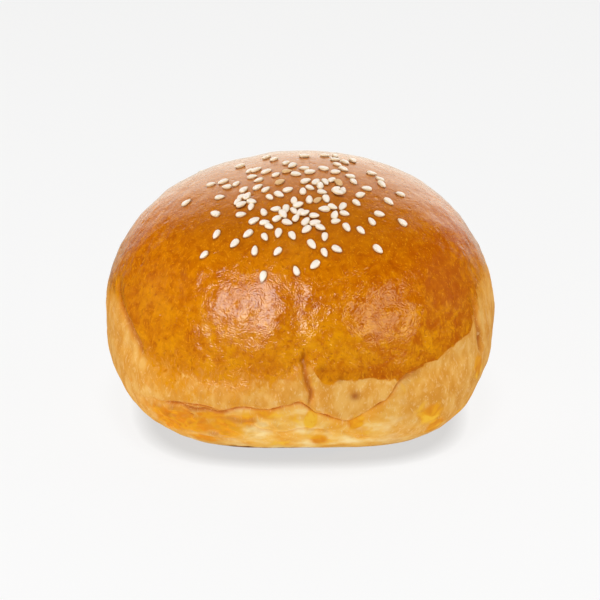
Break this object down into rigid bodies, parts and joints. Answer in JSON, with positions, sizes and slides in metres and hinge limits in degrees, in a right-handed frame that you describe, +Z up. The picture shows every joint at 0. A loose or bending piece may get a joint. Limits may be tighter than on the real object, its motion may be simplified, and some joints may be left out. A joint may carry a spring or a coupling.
{
  "type": "sesame bread roll",
  "caption": "Round soft bread roll with a glossy domed crust, a pale folded underside, a flat base and sesame seeds on its crown.",
  "frame": {"origin": "middle of the flat base that the roll rests on", "axes": "+Z up through the crown, +X across the widest extent, -Y towards the front with the crease"},
  "size_m": [0.1006, 0.087, 0.0678],
  "materials": {
    "crust": "baked crust: glossy egg wash, deep orange brown on top, pale matte gold low down",
    "sesame": "hulled sesame seed, cream white, satin"
  },
  "bodies": {
    "root": {"bread_roll": "crust", "sesame_seed_01": "sesame", "sesame_seed_02": "sesame", "sesame_seed_03": "sesame", "sesame_seed_04": "sesame", "sesame_seed_05": "sesame", "sesame_seed_06": "sesame", "sesame_seed_07": "sesame", "sesame_seed_08": "sesame", "sesame_seed_09": "sesame", "sesame_seed_10": "sesame", "sesame_seed_11": "sesame", "sesame_seed_12": "sesame", "sesame_seed_13": "sesame", "sesame_seed_14": "sesame", "sesame_seed_15": "sesame", "sesame_seed_16": "sesame", "sesame_seed_17": "sesame", "sesame_seed_18": "sesame", "sesame_seed_19": "sesame", "sesame_seed_20": "sesame", "sesame_seed_21": "sesame", "sesame_seed_22": "sesame", "sesame_seed_23": "sesame", "sesame_seed_24": "sesame", "sesame_seed_25": "sesame", "sesame_seed_26": "sesame", "sesame_seed_27": "sesame", "sesame_seed_28": "sesame", "sesame_seed_29": "sesame", "sesame_seed_30": "sesame", "sesame_seed_31": "sesame", "sesame_seed_32": "sesame", "sesame_seed_33": "sesame", "sesame_seed_34": "sesame", "sesame_seed_35": "sesame", "sesame_seed_36": "sesame", "sesame_seed_37": "sesame", "sesame_seed_38": "sesame", "sesame_seed_39": "sesame", "sesame_seed_40": "sesame", "sesame_seed_41": "sesame", "sesame_seed_42": "sesame", "sesame_seed_43": "sesame", "sesame_seed_44": "sesame", "sesame_seed_45": "sesame", "sesame_seed_46": "sesame", "sesame_seed_47": "sesame", "sesame_seed_48": "sesame", "sesame_seed_49": "sesame", "sesame_seed_50": "sesame", "sesame_seed_51": "sesame", "sesame_seed_52": "sesame", "sesame_seed_53": "sesame", "sesame_seed_54": "sesame", "sesame_seed_55": "sesame", "sesame_seed_56": "sesame", "sesame_seed_57": "sesame", "sesame_seed_58": "sesame", "sesame_seed_59": "sesame"}
  },
  "joints": []
}
